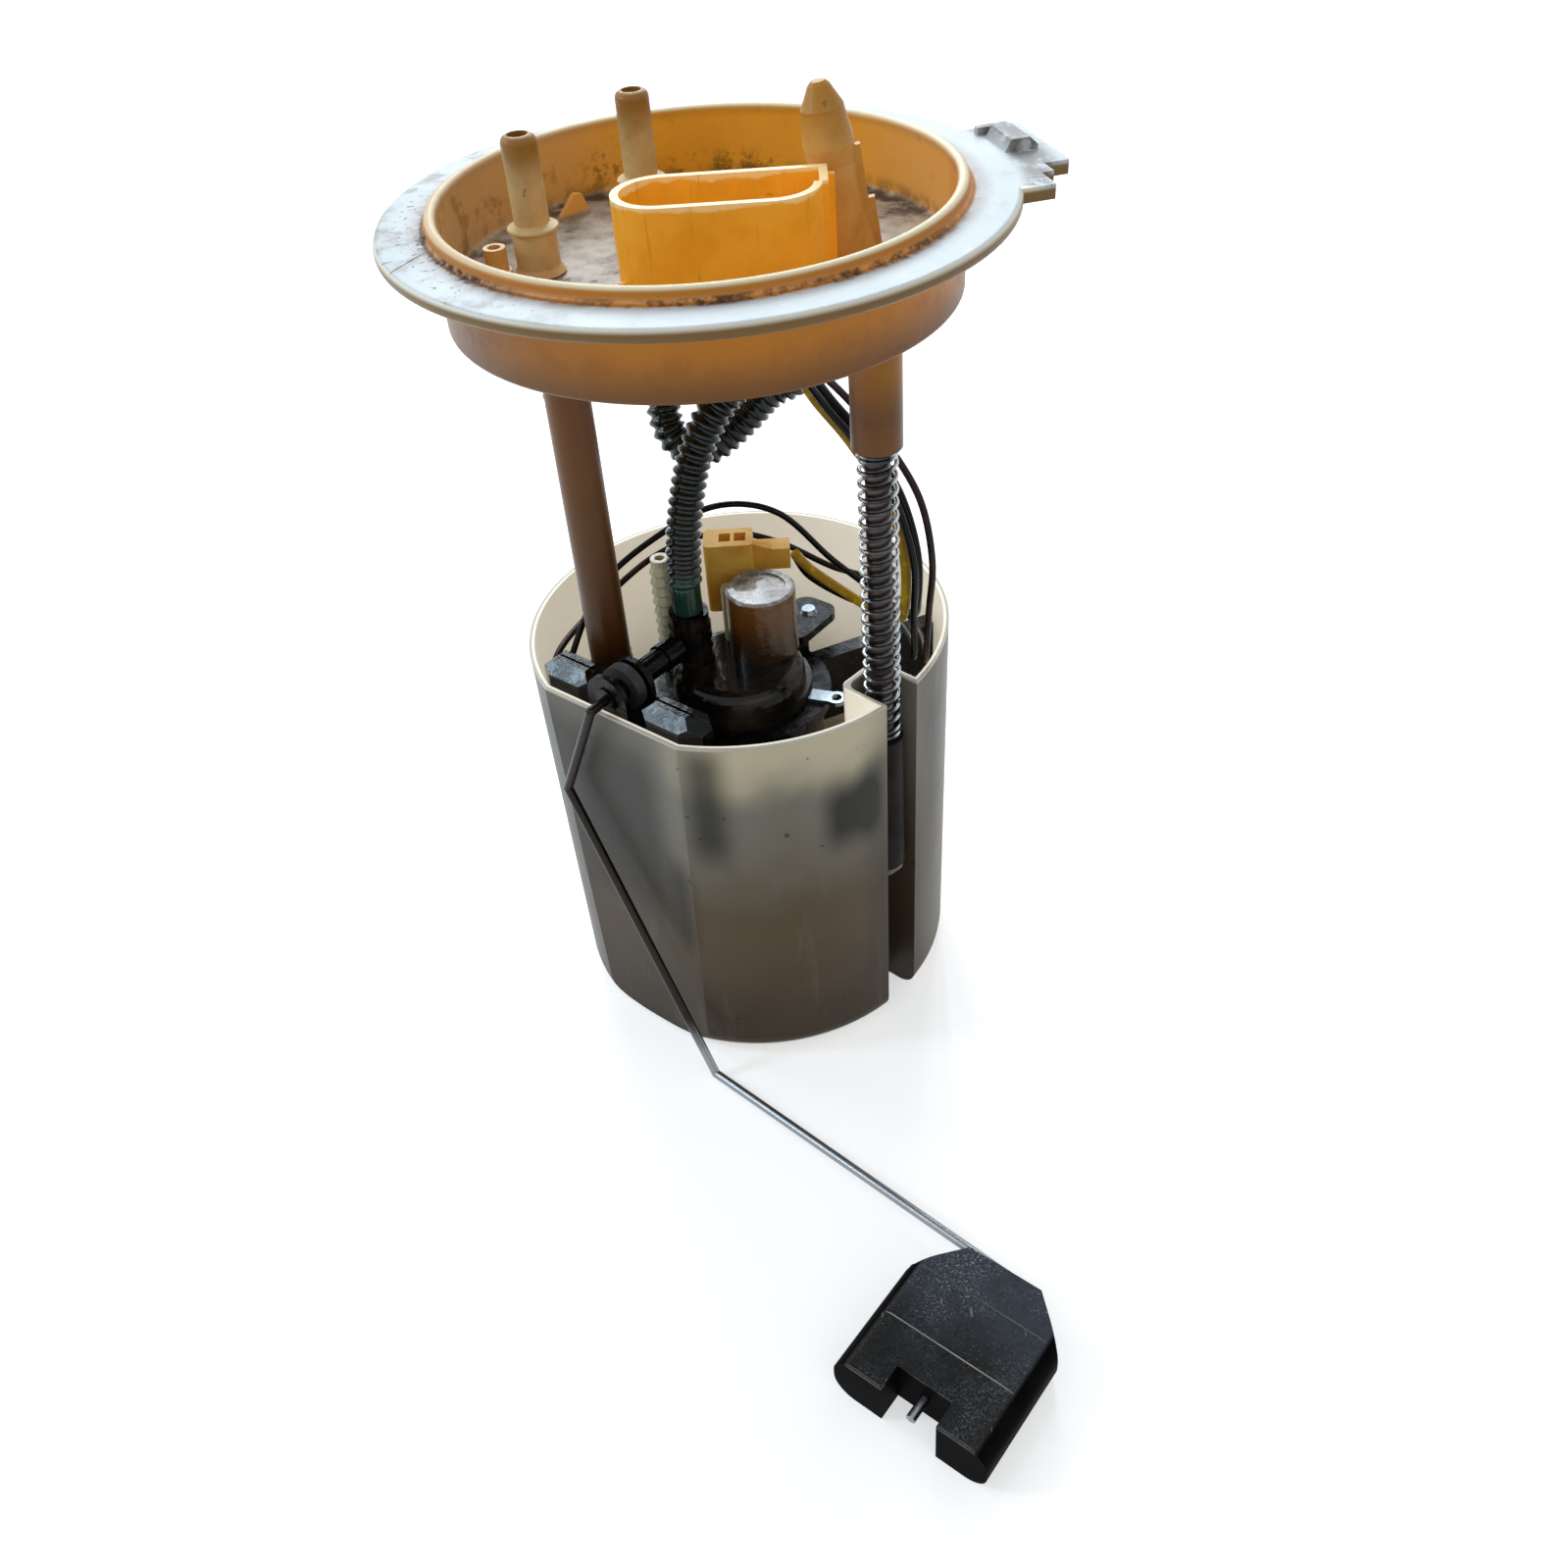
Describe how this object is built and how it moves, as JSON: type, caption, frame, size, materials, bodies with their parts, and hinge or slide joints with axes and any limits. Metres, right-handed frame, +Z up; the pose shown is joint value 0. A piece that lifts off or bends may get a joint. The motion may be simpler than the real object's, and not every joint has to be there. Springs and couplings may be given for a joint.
{
  "type": "in-tank fuel pump module",
  "caption": "Fuel pump module for a tank: flange with spigots and connector, sprung guide rod, swirl pot with electric pump, and a level sender with a float on a wire arm.",
  "frame": {"origin": "on the flange axis, in the plane of the sealing face under the flange ring", "axes": "+Z up along the flange axis, out of the tank; the connector is towards -Y and the locating tab towards +X"},
  "size_m": [0.1537, 0.2534, 0.2506],
  "materials": {
    "flange_plastic": "satin, aged by fuel, cloudy",
    "shroud_plastic": "semi-gloss, translucent amber",
    "terminal_metal": "tarnished",
    "plug_black": "satin",
    "spigot_plastic": "satin, aged",
    "nipple_plastic": "satin, translucent",
    "socket_plastic": "semi-gloss, fuel stained",
    "rod_steel": "ground, bright",
    "sleeve_plastic": "satin, dark grey",
    "tube_plastic": "semi-gloss, fuel stained",
    "spring_steel": "drawn wire, bright",
    "pot_plastic": "satin, fuel stained",
    "inner_plastic": "satin",
    "valve_rubber": "matte",
    "holder_plastic": "gloss, wet with fuel",
    "trim_steel": "satin",
    "can_steel": "plated, satin",
    "magnet_ferrite": "ground ferrite",
    "chamber_plastic": "satin",
    "strainer_mesh": "fine woven mesh",
    "bell_plastic": "semi-gloss, wet",
    "brush_carbon": "pressed carbon",
    "armature_steel": "laminated, varnished",
    "commutator_brass": "turned",
    "shaft_steel": "ground",
    "impeller_plastic": "moulded",
    "regulator_plastic": "gloss, wet amber",
    "sleeve_rubber": "wet",
    "clear_plastic": "gloss, translucent",
    "plug_amber": "semi-gloss, amber",
    "sender_plastic": "gloss, wet with fuel",
    "sensor_resin": "cast resin",
    "damper_rubber": "gloss, wet with fuel",
    "hub_plastic": "gloss, wet with fuel",
    "sensor_magnet": "bonded ferrite",
    "wire_steel": "drawn wire, tarnished",
    "float_rubber": "closed-cell rubber, wrinkled and speckled",
    "hose_plastic": "corrugated, wet with fuel",
    "wire_yellow": "insulation, aged",
    "wire_black": "insulation, aged",
    "wire_brown": "insulation, aged"
  },
  "bodies": {
    "pot": {"swirl_pot": "pot_plastic", "inlet_valve_seat": "inner_plastic", "jet_pump": "inner_plastic", "pump_holder": "holder_plastic", "holder_rivet": "trim_steel", "holder_clip": "trim_steel", "pump_can": "can_steel", "pump_magnets": "magnet_ferrite", "pump_chamber": "chamber_plastic", "pump_strainer": "strainer_mesh", "pump_end_bell": "bell_plastic", "pump_brushes": "brush_carbon", "regulator_cap": "regulator_plastic", "outlet_sleeve": "sleeve_rubber", "vent_nipple": "clear_plastic", "pump_plug": "plug_amber", "sender_frame": "sender_plastic", "sender_sensor": "sensor_resin", "damper_left": "damper_rubber", "damper_right": "damper_rubber", "rod_sleeve": "sleeve_plastic", "guide_spring": "spring_steel", "fuel_hose": "hose_plastic", "return_hose": "hose_plastic", "yellow_wire": "wire_yellow", "black_wire": "wire_black", "sender_wire_a": "wire_black", "sender_wire_b": "wire_brown"},
    "flange": {"flange_cover": "flange_plastic", "connector_shroud": "shroud_plastic", "connector_terminals": "terminal_metal", "harness_plug": "plug_black", "supply_spigot": "spigot_plastic", "return_spigot": "spigot_plastic", "heater_nipple": "nipple_plastic", "vent_stub": "nipple_plastic", "rod_socket": "socket_plastic", "guide_rod": "rod_steel", "rod_stop_clip": "rod_steel", "guide_tube": "tube_plastic"},
    "pump_rotor": {"armature": "armature_steel", "commutator": "commutator_brass", "rotor_shaft": "shaft_steel", "impeller": "impeller_plastic"},
    "inlet_valve": {"inlet_valve_disc": "valve_rubber"},
    "float_arm": {"sender_hub": "hub_plastic", "sender_magnet": "sensor_magnet", "float_wire": "wire_steel", "float_body": "float_rubber"}
  },
  "joints": [
    {"name": "flange_slide", "type": "slide", "parent": "pot", "child": "flange", "axis": [0, 0, 1], "range_m": [-0.045, 0], "stiffness_N_per_m": 150, "springref_m": 0.065, "deforming": ["guide_spring", "fuel_hose", "return_hose", "yellow_wire", "black_wire", "sender_wire_a", "sender_wire_b"]},
    {"name": "float_swing", "type": "hinge", "parent": "pot", "child": "float_arm", "pos_m": [-0.02928, -0.03423, -0.105], "axis": [-0.6157, -0.788, 0], "range_deg": [0, 70]},
    {"name": "pump_spin", "type": "hinge", "parent": "pot", "child": "pump_rotor", "pos_m": [0, -0.017, -0.15], "axis": [0, 0, 1], "continuous": true},
    {"name": "inlet_valve_lift", "type": "slide", "parent": "pot", "child": "inlet_valve", "axis": [0, 0, 1], "range_m": [0, 0.0013]}
  ]
}
